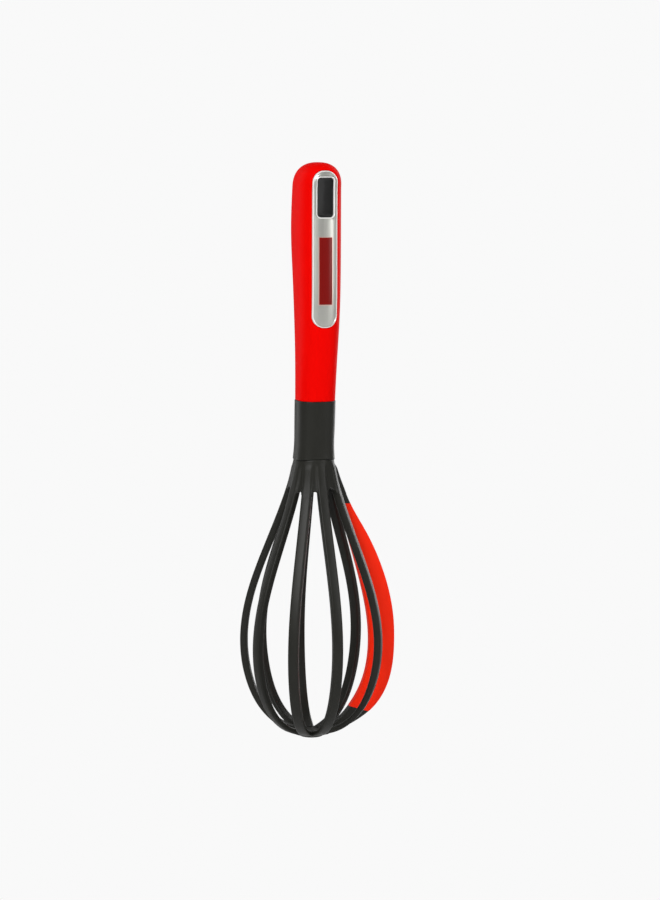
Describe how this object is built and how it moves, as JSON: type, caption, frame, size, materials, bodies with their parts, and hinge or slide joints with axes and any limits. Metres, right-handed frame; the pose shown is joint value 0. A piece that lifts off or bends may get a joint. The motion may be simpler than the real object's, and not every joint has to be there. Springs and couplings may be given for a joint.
{
  "type": "balloon whisk",
  "caption": "Balloon whisk with stiff nylon ribs, a red silicone scraper blade, a soft red grip and a hanging hole.",
  "frame": {"origin": "centre of the hanging hole, half way through the handle", "axes": "+Z along the whisk towards the crown of the handle, -Y out of the front plate along the hanging hole, +X towards the scraper blade"},
  "size_m": [0.0819, 0.0766, 0.3036],
  "materials": {
    "grip_red": "matte soft-touch",
    "silicone_red": "satin silicone",
    "core_black": "satin moulded",
    "nylon_grey": "satin moulded nylon",
    "plate_silver": "satin with polished rim",
    "badge_red": "gloss, blank",
    "pin_steel": "ground"
  },
  "bodies": {
    "root": {"grip_shell": "grip_red", "handle_core": "core_black", "hang_hole_liner": "core_black", "front_plate": "plate_silver", "name_badge": "badge_red", "neck_collar": "nylon_grey", "head_tang": "nylon_grey", "tang_lock_pin": "pin_steel", "head_skirt": "nylon_grey", "tip_hub": "nylon_grey", "blade_rib": "nylon_grey", "scraper_blade": "silicone_red", "rib_1": "nylon_grey", "rib_2": "nylon_grey", "rib_3": "nylon_grey", "rib_4": "nylon_grey", "rib_5": "nylon_grey", "rib_6": "nylon_grey", "rib_7": "nylon_grey", "rib_8": "nylon_grey"}
  },
  "joints": []
}
